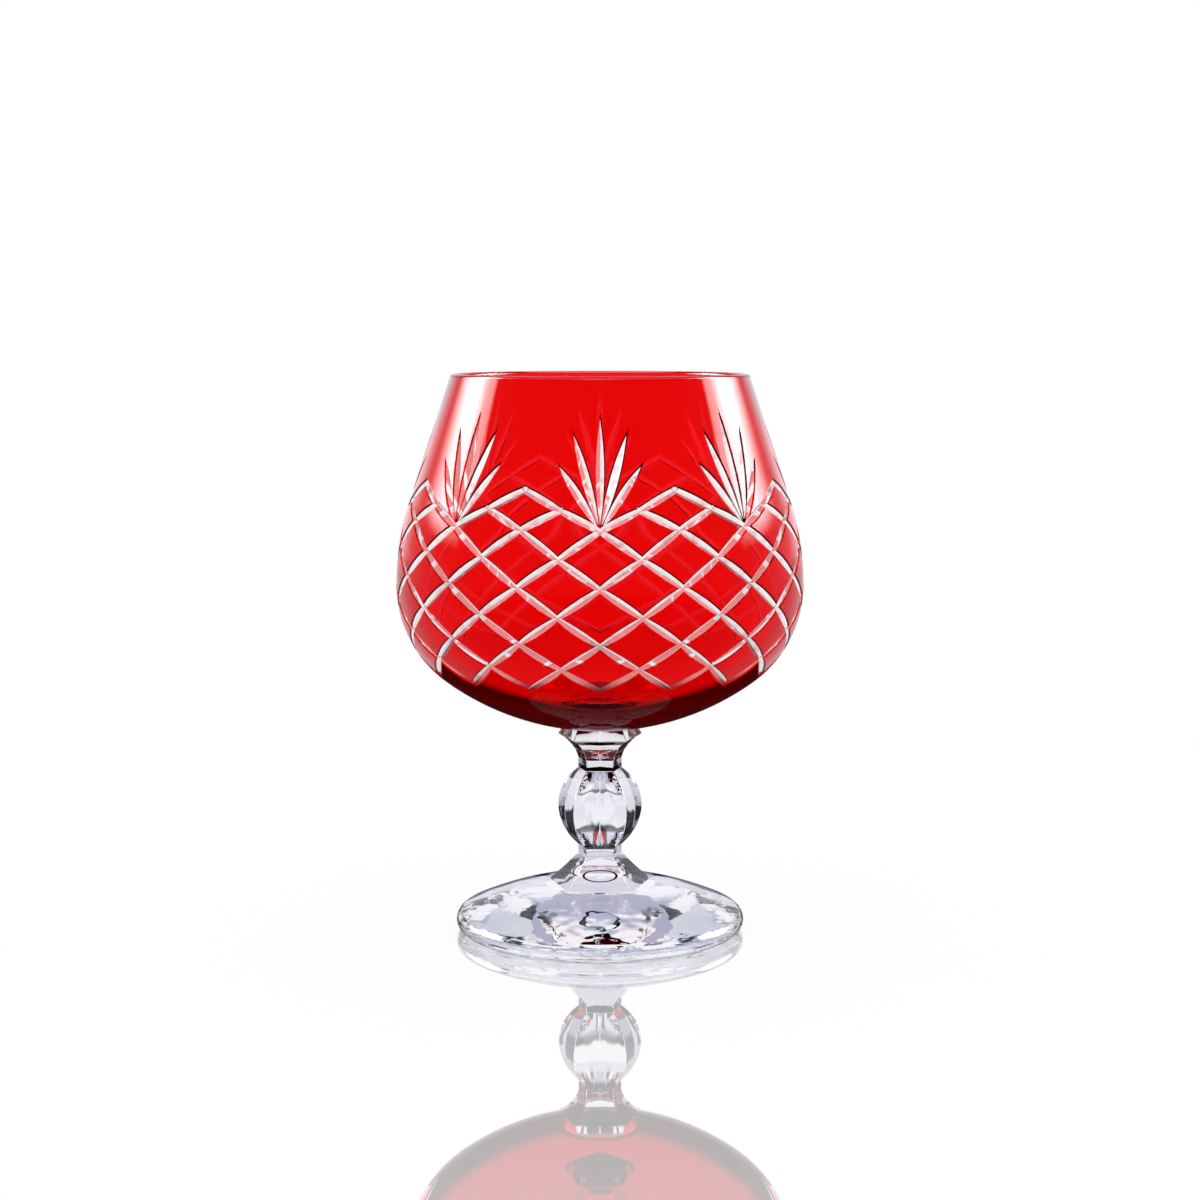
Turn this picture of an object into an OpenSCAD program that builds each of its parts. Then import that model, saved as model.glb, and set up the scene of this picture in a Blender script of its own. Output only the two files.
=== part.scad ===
// Brandy snifter of cased crystal: a clear bowl with a ruby casing that is cut through to the
// clear glass in a lattice of diamonds and a ring of fans, on a clear panel-cut stem and disc foot.
// Millimetres, +Z up, the origin is on the axis at the underside of the foot.

/* [Overall] */
// Height from the table to the top of the rim
total_h = 127; // [115:0.5:140]

/* [Bowl] */
// Outer diameter of the bowl at the rim
rim_d = 67.4; // [58:0.2:76]
// Outer diameter at the widest part of the bowl
belly_d = 92; // [84:0.5:100]
// Height of the widest part above the table
belly_z = 79.5; // [77:0.5:83]
// Height of the lowest point of the bowl's outer curve
bowl_base_z = 46.5; // [44:0.5:49]
// Radius of the curve between the belly and the straight upper wall
upper_arc_r = 60; // [50:1:75]
// Radius of the curve below the belly
side_arc_r = 26.5; // [24:0.5:29]
// Wall of the whole bowl at the rounded rim
rim_wall = 1.8; // [1.4:0.1:2.6]
// Wall of the whole bowl at the belly
belly_wall = 3.4; // [2.6:0.1:4.6]
// Thickness of the bowl's bottom on the axis
base_wall = 7; // [5:0.5:8]
// Thickness of the ruby casing
casing_t = 0.3; // [0.25:0.05:0.6]

/* [Cutting] */
// Distance down the wall from the rim to the peaks of the zigzag
zigzag_start = 24; // [21:0.2:27]
// Distance down the wall from the peaks to the valleys of the zigzag
zigzag_drop = 8.6; // [7:0.2:10]
// Distance down the wall between rows of crossings in the lattice
row_step = 6.1; // [5.5:0.1:6.6]
// Depth of the lattice cuts below the bowl's outer surface, midway between crossings
lattice_depth = 1.1; // [1:0.05:1.3]
// Width of a fan's leaves midway along
leaf_w = 2.3; // [1.4:0.1:2.6]
// Half the angle between the two faces of a cut
cut_half_angle = 45; // [38:1:52]
// Number of fans round the bowl
fan_count = 8; // [8:1:10]
// Distance down the wall from the rim to the tip of a fan's middle leaf
mid_leaf_tip = 6.7; // [5:0.1:9]
// Distance down the wall from the rim to the tips of the inner leaves
inner_leaf_tip = 10.5; // [8:0.1:13]
// Distance down the wall from the rim to the tips of the outer leaves
outer_leaf_tip = 17.8; // [15:0.1:20]

/* [Stem and foot] */
// Number of flat panels cut round the stem
stem_panels = 5; // [5:1:8]
// Distance from the axis to a panel of the neck
neck_in_r = 4.25; // [3.6:0.05:4.8]
// Distance from the axis to a panel at the lip of the bowl collar
lip_in_r = 8.2; // [7.2:0.1:9.2]
// Height of the bowl collar from the knop to the bowl
bowl_collar_h = 10.4; // [9.4:0.1:11.4]
// Height of the straight neck above the knop
neck_h = 2.4; // [1.6:0.1:3.2]
// Height of the knop from neck to neck
knop_h = 18; // [16:0.2:20]
// Distance from the axis to the middle of a panel of the knop
knop_in_r = 8.2; // [7.4:0.05:8.8]
// Height of the straight neck below the knop
waist_h = 1.8; // [1:0.1:2.6]
// Height of the foot collar from the foot to the knop
foot_collar_h = 8.6; // [7.8:0.1:9.4]
// Distance from the axis to a panel at the bottom of the foot collar
hub_in_r = 10; // [9:0.1:11]
// Diameter of the foot
foot_d = 66; // [58:0.5:74]
// Thickness of the foot at its rounded edge
foot_edge_t = 4.6; // [3.6:0.1:5.4]
// Width of the flat on the foot outside the corners of the foot collar
seat_margin = 0.4; // [0.2:0.1:1.5]
// Bulge of the foot's top between its edge and the seat
foot_bulge = 0.6; // [0.3:0.05:1]

/* [Hidden] */
$fn = 96;

clear_colour = [0.86, 0.89, 0.93];
ruby_colour = [0.62, 0.02, 0.05];
radian = 180 / PI;

// How far a panelled piece's corners stand out, against its panels
corner = 1 / cos(180 / stem_panels);

// Heights of the seats from the bowl down to the foot: the bowl is ground flat where it sits
seat_grind = 0.9;
bowl_seat_z = bowl_base_z + seat_grind;
knop_top_z = bowl_seat_z - bowl_collar_h;
knop_low_z = knop_top_z - knop_h;
foot_seat_z = knop_low_z - foot_collar_h;

// Outer curve of the bowl: the rounded lip, a straight cone, the upper arc, the side arc and the
// base arc, which meet without a kink
belly_r = belly_d / 2;
lip_r = rim_wall / 2;
lip_c = [rim_d / 2 - lip_r, total_h - lip_r];
side_c = [belly_r - side_arc_r, belly_z];
// The upper arc is drawn in where the bowl is too low for it, so that this much of the wall under
// the lip stays straight
least_straight = 20;
lip_in = belly_r - lip_c.x;
lip_up = lip_c.y - belly_z;
lip_room = pow(lip_in, 2) + pow(lip_up, 2) - pow(least_straight, 2) - pow(lip_r, 2);
widest_upper_r = lip_room / (2 * (lip_in - lip_r));
upper_r = min(upper_arc_r, widest_upper_r);
upper_c = [belly_r - upper_r, belly_z];
lip_reach = norm(lip_c - upper_c);
lip_turn = atan2(lip_c.y - upper_c.y, lip_c.x - upper_c.x);
cone_tilt = lip_turn - acos((upper_r - lip_r) / lip_reach);
base_drop = belly_z - bowl_base_z;
base_rise = (pow(side_c.x, 2) - pow(base_drop - side_arc_r, 2)) / (2 * (base_drop - side_arc_r));
base_arc_r = base_drop + base_rise;
base_c = [0, belly_z + base_rise];
side_turn = atan2(base_rise, side_c.x);

// Distances down the outer curve, from the lip to the end of each stretch
cone_end = sqrt(pow(lip_reach, 2) - pow(upper_r - lip_r, 2));
belly_s = cone_end + upper_r * cone_tilt / radian;
side_end = belly_s + side_arc_r * side_turn / radian;
base_end = side_end + base_arc_r * (90 - side_turn) / radian;

// Inner curve of the bowl: it runs alongside the outer arcs, and has a flatter floor
inner_upper_r = upper_r - belly_wall;
inner_tilt = lip_turn - acos((inner_upper_r + lip_r) / lip_reach);
floor_drop = base_drop - base_wall;
// The inner side arc is drawn in where it would reach below the floor, which stays this much hollow
least_floor_sag = 1.5;
inner_side_r = min(side_arc_r - belly_wall, floor_drop - least_floor_sag);
inner_side_c = [belly_r - belly_wall - inner_side_r, belly_z];
floor_sag = floor_drop - inner_side_r;
floor_rise = (pow(inner_side_c.x, 2) - pow(floor_sag, 2)) / (2 * floor_sag);
floor_turn = atan2(floor_rise, inner_side_c.x);

// Steps in the arcs, and the distances down the wall at which every layer has a corner, so that
// the casing fits the clear glass
lip_steps = 10;
upper_steps = 5;
side_steps = 13;
base_steps = 7;
knots = concat(
    [0],
    [for (i = [0 : upper_steps - 1]) cone_end + (belly_s - cone_end) * i / upper_steps],
    [for (i = [0 : side_steps - 1]) belly_s + (side_end - belly_s) * i / side_steps],
    [for (i = [0 : base_steps]) side_end + (base_end - side_end) * i / base_steps]
);
last_knot = len(knots) - 1;

// Rows of crossings: two down the zigzag, then six more down the lattice
last_row = 8;
row_s = [
    for (k = [0 : last_row])
        zigzag_start + (k < 2 ? zigzag_drop * k / 2 : zigzag_drop + (k - 2) * row_step)
];
fan_pitch = 360 / fan_count;
half_cell = fan_pitch / 4;

// Leaves of one fan: the turn of each tip from the fan's middle, and its distance down the wall
inner_leaf_turn = 0.205 * fan_pitch;
outer_leaf_turn = 0.3 * fan_pitch;
leaves = [
    [0, mid_leaf_tip],
    [inner_leaf_turn, inner_leaf_tip],
    [-inner_leaf_turn, inner_leaf_tip],
    [outer_leaf_turn, outer_leaf_tip],
    [-outer_leaf_turn, outer_leaf_tip]
];

// Cutters stand this far out of the casing on both sides and lap by this angle; the last is longer
// than any piece they cut
proud = 2;
lap = 0.4;
far = 70;
leaf_steps = 6;

function polar(a) = [cos(a), sin(a)];

function unit(v) = v / norm(v);

function reversed(list) = [for (i = [len(list) - 1 : -1 : 0]) list[i]];

function between(a, b) = (a + b) / 2;

// Points of an arc, and of a curve between two points that bulges to the left of its chord
function arc(c, r, a0, a1, n) = [for (i = [0 : n]) c + r * polar(a0 + (a1 - a0) * i / n)];

function bowed(p, q, bulge, n) =
    let (
        half = norm(q - p) / 2,
        r = (half * half + bulge * bulge) / (2 * bulge),
        along = (q - p) / (2 * half),
        left = [-along.y, along.x],
        c = between(p, q) + (bulge - r) * left,
        spread = asin(half / r),
        mid = atan2(left.y, left.x)
    ) arc(c, r, mid + spread, mid - spread, n);

// Angle of the outward normal above the horizontal, at a distance down the wall
function wall_tilt(s) =
    s <= cone_end ? cone_tilt
    : s <= belly_s ? cone_tilt - (s - cone_end) * radian / upper_r
    : s <= side_end ? -(s - belly_s) * radian / side_arc_r
    : -side_turn - (s - side_end) * radian / base_arc_r;

// Point of the bowl's section at a distance down the wall and a depth below the outer surface
function wall_pt(s, depth) =
    s <= cone_end ? lip_c + s * [sin(cone_tilt), -cos(cone_tilt)] + (lip_r - depth) * polar(cone_tilt)
    : s <= belly_s ? upper_c + (upper_r - depth) * polar(wall_tilt(s))
    : s <= side_end ? side_c + (side_arc_r - depth) * polar(wall_tilt(s))
    : base_c + (base_arc_r - depth) * polar(wall_tilt(s));

function layer(depth, first, last) = [for (i = [first : last]) wall_pt(knots[i], depth)];

// The first knot at or past a distance down the wall
function knot_at(s) = len([for (k = knots) if (k < s) k]);

// The outer surface in space at [turn round the axis, distance down the wall], and its normal
function wall_at(a) =
    let (p = wall_pt(a[1], 0)) [p.x * cos(a[0]), p.x * sin(a[0]), p.y];

function normal_at(a) =
    let (t = wall_tilt(a[1])) [cos(t) * cos(a[0]), cos(t) * sin(a[0]), sin(t)];

// Crossing of the lattice, counted in half cells round the bowl and in rows down it
function crossing(cell, row) = [cell * half_cell, row_s[row]];

// Frame along a cut: columns are across the cut to the left, out of the glass and along it
function cut_axes(a, b) =
    let (u = unit(wall_at(b) - wall_at(a)), v = unit(cross(normal_at(between(a, b)), u))) [v, cross(u, v), u];

// Depth of a cut below its chord, so that it has its full depth midway along
function chord_depth(a, b, depth) =
    let (m = between(a, b)) depth - (wall_at(m) - between(wall_at(a), wall_at(b))) * normal_at(m);

function placed(x, y, z, o) = [
    [x.x, y.x, z.x, o.x],
    [x.y, y.y, z.y, o.y],
    [x.z, y.z, z.z, o.z],
    [0, 0, 0, 1]
];

// Moves a piece on to the right-hand face of a straight cut, seen from outside along the way from
// a to b: its Z then points into the glass that the cut leaves
module on_right_face(a, b) {
    axes = cut_axes(a, b);
    face = axes[1] * cos(cut_half_angle) - axes[0] * sin(cut_half_angle);
    into = -axes[0] * cos(cut_half_angle) - axes[1] * sin(cut_half_angle);
    bottom = between(wall_at(a), wall_at(b)) - axes[1] * chord_depth(a, b, lattice_depth);
    multmatrix(placed(cross(face, into), face, into, bottom))
        children();
}

module glass_right_of(a, b) {
    on_right_face(a, b)
        translate([-far, -far, 0])
            cube(2 * far);
}

// What is not that glass, within the two crossings' angles round the bowl
module all_but_right_of(a, b) {
    turn0 = min(a[0], b[0]) - lap;
    turn1 = max(a[0], b[0]) + lap;
    intersection() {
        linear_extrude(2 * total_h)
            polygon([[0, 0], belly_d * polar(turn0), belly_d * polar(turn1)]);
        on_right_face(a, b)
            translate([-far, -far, -2 * far])
                cube(2 * far);
    }
}

// A leaf with pointed ends between two points of the wall, right through the casing
module leaf_cut(a, b) {
    axes = cut_axes(a, b);
    half = norm(wall_at(b) - wall_at(a)) / 2;
    edge = bowed([-half, 0], [half, 0], leaf_w / 2, leaf_steps);
    multmatrix(placed(axes[2], axes[0], axes[1], between(wall_at(a), wall_at(b))))
        translate([0, 0, -proud])
            linear_extrude(2 * proud)
                polygon(concat(edge, [for (i = [leaf_steps - 1 : -1 : 1]) [edge[i].x, -edge[i].y]]));
}

// The leaves of the fan whose middle is at the angle 0
module fan_cuts() {
    for (leaf = leaves)
        leaf_cut(crossing(0, 2), leaf);
}

module round_fans() {
    for (i = [0 : fan_count - 1])
        rotate([0, 0, i * fan_pitch])
            children();
}

// The casing between two knots, before any cut
module casing(first, last, turn) {
    rotate_extrude(angle = turn)
        polygon(concat(layer(0, first, last), reversed(layer(casing_t, first, last))));
}

// A diamond of casing centred on a row and a number of half cells round the bowl
module diamond(cell, row) {
    top = crossing(cell, row - 1);
    low = crossing(cell, row + 1);
    left = crossing(cell - 1, row);
    right = crossing(cell + 1, row);
    intersection() {
        rotate([0, 0, (cell - 2) * half_cell])
            casing(knot_at(row_s[row - 1]) - 1, knot_at(row_s[row + 1]), 4 * half_cell);
        glass_right_of(top, right);
        glass_right_of(right, low);
        glass_right_of(low, left);
        glass_right_of(left, top);
    }
}

module diamond_row(row) {
    cells = row == 1 ? [2] : row % 2 == 0 ? [-1, 1] : [0, 2];
    color(ruby_colour)
        round_fans()
            for (cell = cells)
                diamond(cell, row);
}

module ruby_band() {
    color(ruby_colour)
        difference() {
            casing(0, knot_at(row_s[2]) + 1, 360);
            round_fans() {
                fan_cuts();
                for (cell = [2 : -1 : -1])
                    all_but_right_of(crossing(cell, 2 - abs(cell)), crossing(cell - 1, 2 - abs(cell - 1)));
            }
        }
}

module ruby_base() {
    color(ruby_colour)
        difference() {
            casing(knot_at(row_s[last_row - 1]) - 2, last_knot, 360);
            round_fans()
                for (cell = [-2 : 1])
                    all_but_right_of(
                        crossing(cell, last_row - abs(cell) % 2),
                        crossing(cell + 1, last_row - abs(cell + 1) % 2)
                    );
            translate([-far, -far, bowl_seat_z - 2 * far])
                cube(2 * far);
        }
}

// The clear glass stands flush with the casing at the lip
module clear_bowl() {
    color(clear_colour)
        difference() {
            rotate_extrude()
                polygon(concat(
                    reversed(layer(casing_t, 0, last_knot)),
                    arc(lip_c, lip_r, cone_tilt, 180 + inner_tilt, lip_steps),
                    arc(upper_c, inner_upper_r, inner_tilt, 0, upper_steps),
                    arc(inner_side_c, inner_side_r, 0, -floor_turn, side_steps),
                    arc([0, belly_z + floor_rise], floor_drop + floor_rise, -floor_turn, -90, base_steps)
                ));
            translate([-far, -far, bowl_seat_z - 2 * far])
                cube(2 * far);
        }
}

// A solid with flat panels all round, from the section of one panel going up
module panelled(section) {
    low = section[0].y;
    high = section[len(section) - 1].y;
    intersection_for(i = [0 : stem_panels - 1])
        rotate([90, 0, -90 + i * 360 / stem_panels])
            linear_extrude(4 * far, center = true)
                polygon(concat([[-2 * far, low]], section, [[-2 * far, high]]));
}

module bowl_collar() {
    lip_h = 2.8;
    lip_draw = 1.4;
    lip_bow = 0.7;
    neck_top = [neck_in_r, knop_top_z + neck_h];
    lip = [lip_in_r, bowl_seat_z - lip_h];
    color(clear_colour)
        panelled(concat(
            [[neck_in_r, knop_top_z]],
            bowed(neck_top, lip, lip_bow, 6),
            [[lip_in_r - lip_draw, bowl_seat_z]]
        ));
}

module knop() {
    knop_steps = 16;
    color(clear_colour)
        panelled(reversed(bowed(
            [neck_in_r, knop_top_z],
            [neck_in_r, knop_low_z],
            knop_in_r - neck_in_r,
            knop_steps
        )));
}

module foot_collar() {
    hub_bow = 0.2;
    color(clear_colour)
        panelled(concat(
            bowed([hub_in_r, foot_seat_z], [neck_in_r, knop_low_z - waist_h], hub_bow, 6),
            [[neck_in_r, knop_low_z]]
        ));
}

module foot() {
    edge_steps = 10;
    top_steps = 8;
    edge_r = foot_edge_t / 2;
    edge_c = [foot_d / 2 - edge_r, edge_r];
    seat_edge = [hub_in_r * corner + seat_margin, foot_seat_z];
    top_tilt = atan2(foot_seat_z - foot_edge_t, edge_c.x - seat_edge.x);
    edge = arc(edge_c, edge_r, -90, 90 - top_tilt, edge_steps);
    color(clear_colour)
        rotate_extrude()
            polygon(concat(
                [[0, 0]],
                edge,
                reversed(bowed(seat_edge, edge[edge_steps], foot_bulge, top_steps)),
                [[0, foot_seat_z]]
            ));
}

foot();
foot_collar();
knop();
bowl_collar();
clear_bowl();
ruby_band();
diamond_row(1);  // ruby_row_1
diamond_row(2);  // ruby_row_2
diamond_row(3);  // ruby_row_3
diamond_row(4);  // ruby_row_4
diamond_row(5);  // ruby_row_5
diamond_row(6);  // ruby_row_6
diamond_row(7);  // ruby_row_7
ruby_base();
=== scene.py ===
# %% [markdown]
# # A brandy snifter in ruby-cased cut crystal
# The real glass is blown in clear crystal with a thin coat of ruby glass outside, the casing. A
# cutter then grinds V-shaped grooves through the casing on a wheel, and the clear glass under it
# shows as bright lines. The stem and the foot are clear, and the stem is ground to five panels.
# The lesson builds the same layers: a clear bowl, a ruby shell round it, and one set of cutters
# that goes through both. Every length is in metres, and the frame gives the overall places.

# %% Load the frame
import math

import bpy
from mathutils import Matrix, Vector


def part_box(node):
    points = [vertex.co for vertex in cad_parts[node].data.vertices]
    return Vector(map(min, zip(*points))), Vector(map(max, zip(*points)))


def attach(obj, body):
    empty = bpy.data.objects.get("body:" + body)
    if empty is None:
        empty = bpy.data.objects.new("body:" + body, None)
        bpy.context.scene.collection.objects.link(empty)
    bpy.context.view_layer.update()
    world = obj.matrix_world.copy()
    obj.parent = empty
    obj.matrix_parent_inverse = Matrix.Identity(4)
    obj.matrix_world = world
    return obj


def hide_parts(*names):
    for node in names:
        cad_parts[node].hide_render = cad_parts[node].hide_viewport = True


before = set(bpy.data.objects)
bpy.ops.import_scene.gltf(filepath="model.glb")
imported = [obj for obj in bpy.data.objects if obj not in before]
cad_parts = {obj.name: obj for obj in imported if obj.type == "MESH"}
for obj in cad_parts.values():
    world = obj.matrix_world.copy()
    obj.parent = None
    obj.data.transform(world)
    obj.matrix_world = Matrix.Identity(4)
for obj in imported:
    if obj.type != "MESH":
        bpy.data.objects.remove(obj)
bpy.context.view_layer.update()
scene = bpy.context.scene
scene.view_settings.view_transform = "Standard"
MM = 0.001
print("CAD nodes:", ", ".join(sorted(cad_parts)))

# %% [markdown]
# ## The section of the bowl
# The bowl is a body of revolution, so its whole shape is one curve: a rounded lip, a straight
# cone, and three arcs that meet without a kink. The curve could be drawn point by point, but the
# cutting follows it too, so here it is a function of the distance down the wall from the lip.
# A depth below the outer surface then gives the casing and the clear glass from the same curve.

# %% The outer curve
rim_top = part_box("clear_bowl")[1].z
bowl_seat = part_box("clear_bowl")[0].z
belly_r = max(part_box(name)[1].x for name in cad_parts)
rim_r = 33.7 * MM
lip_r = 0.9 * MM
belly_z = 79.5 * MM
base_z = 46.5 * MM
upper_r = 60 * MM
side_r = 26.5 * MM
casing = 0.3 * MM

lip_c = Vector((rim_r - lip_r, rim_top - lip_r))
upper_c = Vector((belly_r - upper_r, belly_z))
side_c = Vector((belly_r - side_r, belly_z))
lip_reach = (lip_c - upper_c).length
lip_turn = math.atan2(lip_c.y - upper_c.y, lip_c.x - upper_c.x)
cone_tilt = lip_turn - math.acos((upper_r - lip_r) / lip_reach)
base_sag = belly_z - base_z - side_r
base_rise = (side_c.x ** 2 - base_sag ** 2) / (2 * base_sag)
base_r = belly_z - base_z + base_rise
base_c = Vector((0, belly_z + base_rise))
side_turn = math.atan2(base_rise, side_c.x)
cone_end = math.sqrt(lip_reach ** 2 - (upper_r - lip_r) ** 2)
belly_s = cone_end + upper_r * cone_tilt
side_end = belly_s + side_r * side_turn
base_end = side_end + base_r * (math.pi / 2 - side_turn)


def polar(angle):
    return Vector((math.cos(angle), math.sin(angle)))


def wall_tilt(s):
    if s <= cone_end:
        return cone_tilt
    if s <= belly_s:
        return cone_tilt - (s - cone_end) / upper_r
    if s <= side_end:
        return -(s - belly_s) / side_r
    return -side_turn - (s - side_end) / base_r


def wall_point(s, depth=0.0):
    out = polar(wall_tilt(s))
    if s <= cone_end:
        return lip_c + s * Vector((math.sin(cone_tilt), -math.cos(cone_tilt))) + (lip_r - depth) * out
    if s <= belly_s:
        return upper_c + (upper_r - depth) * out
    if s <= side_end:
        return side_c + (side_r - depth) * out
    return base_c + (base_r - depth) * out


print("wall length in mm:", round(base_end / MM, 1), "with the belly at", round(belly_s / MM, 1))

# %% Stations down the wall, and the seat on the stem
CONE_STEPS, UPPER_STEPS, SIDE_STEPS, BASE_STEPS = 3, 14, 22, 14
HALVINGS = 50


def spread(first, last, steps):
    return [first + (last - first) * i / steps for i in range(steps + 1)]


def arc(centre, radius, first, last, steps):
    return [centre + radius * polar(angle) for angle in spread(first, last, steps)]


# The station where a layer comes down to the height of the seat
def seat_s(depth):
    low, high = side_end, base_end
    for _ in range(HALVINGS):
        middle = (low + high) / 2
        if wall_point(middle, depth).y > bowl_seat:
            low = middle
        else:
            high = middle
    return low


def wall_line(depth):
    stations = spread(0, cone_end, CONE_STEPS) + spread(cone_end, belly_s, UPPER_STEPS)[1:]
    stations += spread(belly_s, side_end, SIDE_STEPS)[1:]
    stations += spread(side_end, seat_s(depth), BASE_STEPS)[1:]
    return [wall_point(s, depth) for s in stations]


print("points down the wall:", len(wall_line(0)), "seat radius in mm:", round(wall_line(0)[-1].x / MM, 2))

# %% [markdown]
# ## Turning a section into a body
# On the real glass the blower turns the pipe. In Blender the same thing is the spin tool: one
# vertex is extruded along the section and the line is spun about the upright axis. A Screw
# modifier could do it too, but spin works on the mesh at once, and five steps instead of many
# give the panelled stem with the same helper.

# %% The lathe
SMOOTH_ANGLE = math.radians(9)
weld_gap = 0.002 * MM


def rest():
    if bpy.context.mode != "OBJECT":
        bpy.ops.object.mode_set(mode="OBJECT")
    bpy.ops.object.select_all(action="DESELECT")


def take(piece):
    rest()
    piece.select_set(True)
    bpy.context.view_layer.objects.active = piece
    return piece


def turned(name, section, steps):
    rest()
    bpy.ops.mesh.primitive_plane_add(size=MM)
    piece = bpy.context.active_object
    piece.name = piece.data.name = name
    bpy.ops.object.mode_set(mode="EDIT")
    bpy.ops.mesh.merge(type="CENTER")
    here = Vector((0, 0, 0))
    for count, point in enumerate(section):
        there = Vector((point[0], 0, point[1]))
        if count == 0:
            bpy.ops.transform.translate(value=there)
        else:
            bpy.ops.mesh.extrude_region_move(TRANSFORM_OT_translate={"value": there - here})
        here = there
    bpy.ops.mesh.select_all(action="SELECT")
    bpy.ops.mesh.spin(steps=steps, angle=2 * math.pi, center=(0, 0, 0), axis=(0, 0, 1))
    bpy.ops.mesh.select_all(action="SELECT")
    bpy.ops.mesh.remove_doubles(threshold=weld_gap)
    bpy.ops.mesh.normals_make_consistent(inside=False)
    bpy.ops.object.mode_set(mode="OBJECT")
    return piece


def told(piece):
    low = [round(min(v.co[i] for v in piece.data.vertices) / MM, 2) for i in range(3)]
    high = [round(max(v.co[i] for v in piece.data.vertices) / MM, 2) for i in range(3)]
    print(piece.name, len(piece.data.polygons), "faces, mm", low, high)


print("edges look smooth up to", round(math.degrees(SMOOTH_ANGLE)), "degrees")

# %% The clear bowl and the ruby shell, not yet cut
ROUND_STEPS = 192
belly_wall = 3.4 * MM
base_wall = 7 * MM
inner_upper_r = upper_r - belly_wall
inner_side_r = side_r - belly_wall
inner_tilt = lip_turn - math.acos((inner_upper_r + lip_r) / lip_reach)
floor_drop = belly_z - base_z - base_wall
floor_sag = floor_drop - inner_side_r
floor_rise = (side_c.x ** 2 - floor_sag ** 2) / (2 * floor_sag)
floor_c = Vector((0, belly_z + floor_rise))
floor_turn = math.atan2(floor_rise, side_c.x)
# The layers stay a hair apart, so that light always meets them in the same order.
fused_gap = 0.02 * MM

LIP_STEPS = 28
inside = arc(lip_c, lip_r, cone_tilt, math.pi + inner_tilt, LIP_STEPS)
inside += arc(upper_c, inner_upper_r, inner_tilt, 0, UPPER_STEPS)
inside += arc(side_c, inner_side_r, 0, -floor_turn, SIDE_STEPS)[1:]
inside += arc(floor_c, floor_drop + floor_rise, -floor_turn, -math.pi / 2, BASE_STEPS)[1:]
outside = wall_line(casing)
clear_bowl = turned("clear_crystal_bowl", [Vector((0, bowl_seat))] + outside[::-1] + inside, ROUND_STEPS)
shell_in = wall_line(casing - fused_gap)
shell = turned("ruby_shell", shell_in + wall_line(0)[::-1] + shell_in[:1], ROUND_STEPS)
told(clear_bowl)
told(shell)

# %% [markdown]
# ## The cutting wheels
# The lattice is cut with a wheel that has a V edge, and each cut is a straight groove from one
# crossing to the next. A groove could be drawn into the mesh, but a solid cutter and a Boolean
# give the crossings for nothing. Each bar is a three-sided cylinder laid along its groove with
# one edge down. The cuts of one eighth are made once and copied round the bowl.

# %% Places on the wall, by turn and distance down
# A bar stands proud of the wall, and its overrun carries it past both crossings.
lattice_top = 24 * MM
zigzag_step = 4.3 * MM
row_step = 6.1 * MM
ROWS = 7
row_s = [lattice_top + i * zigzag_step for i in range(3)]
row_s += [row_s[-1] + i * row_step for i in range(1, ROWS)]
FANS = 8
half_cell = 2 * math.pi / FANS / 4
lattice_depth = 1.1 * MM
proud = 2 * MM
overrun = 0.7 * MM


def wall_at(place):
    radius, height = wall_point(place[1])
    return Vector((radius * math.cos(place[0]), radius * math.sin(place[0]), height))


def wall_out(place):
    flat, rise = polar(wall_tilt(place[1]))
    return Vector((flat * math.cos(place[0]), flat * math.sin(place[0]), rise))


def crossing(cell, row):
    return (cell * half_cell, row_s[row])


def groove_axes(start, end):
    a, b = wall_at(start), wall_at(end)
    middle = ((start[0] + end[0]) / 2, (start[1] + end[1]) / 2)
    along = (b - a).normalized()
    out = wall_out(middle)
    out = (out - along * out.dot(along)).normalized()
    bulge = (wall_at(middle) - (a + b) / 2).dot(out)
    return (a + b) / 2, (b - a).length, along, out, bulge


def place_cutter(cutter, x, y, z, origin):
    cutter.matrix_world = Matrix((x, y, z)).transposed().to_4x4()
    cutter.matrix_world.translation = origin
    bpy.ops.object.transform_apply(location=True, rotation=True, scale=True)


def groove_bar(start, end):
    middle, length, along, out, bulge = groove_axes(start, end)
    deep = lattice_depth - bulge
    high = deep + proud
    rest()
    bpy.ops.mesh.primitive_cylinder_add(vertices=3, radius=1, depth=1)
    bar = bpy.context.active_object
    # A three-sided bar of radius 1 is 1.5 high, and its sides lean by 30 degrees.
    across = along.cross(out) * high / math.cos(math.radians(30))
    down = -out * high / 1.5
    place_cutter(bar, across, down, along * (length + 2 * overrun), middle - out * deep - down)
    return bar


def copied_round(cutters, name):
    rest()
    for cutter in cutters:
        cutter.select_set(True)
    bpy.context.view_layer.objects.active = cutters[0]
    if len(cutters) > 1:
        bpy.ops.object.join()
    cutters[0].name = name
    bpy.ops.object.mode_set(mode="EDIT")
    bpy.ops.mesh.select_all(action="SELECT")
    bpy.ops.mesh.normals_make_consistent(inside=False)
    bpy.ops.mesh.spin(steps=FANS - 1, dupli=True, angle=2 * math.pi * (FANS - 1) / FANS,
                      center=(0, 0, 0), axis=(0, 0, 1))
    bpy.ops.object.mode_set(mode="OBJECT")
    return cutters[0]


print("crossings down the wall in mm:", [round(s / MM, 1) for s in row_s])

# %% The lattice, in four sets whose grooves don't touch each other
groups = {}
for side in (-1, 1):
    key = (0, 0 if side < 0 else 1)
    groups.setdefault(key, []).append((crossing(2 * side, 0), crossing(side, 1)))
for row in range(1, ROWS + 1):
    for cell in range(-2, 2):
        lean = (row + cell) % 2
        cut = (crossing(cell + lean, row), crossing(cell + 1 - lean, row + 1))
        groups.setdefault((row % 2, cell % 2), []).append(cut)
cutters = []
for key in sorted(groups):
    bars = [groove_bar(*cut) for cut in groups[key]]
    cutters.append(copied_round(bars, "lattice_cutter"))
    print("lattice set", key, len(groups[key]), "grooves copied", FANS, "times")

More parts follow.
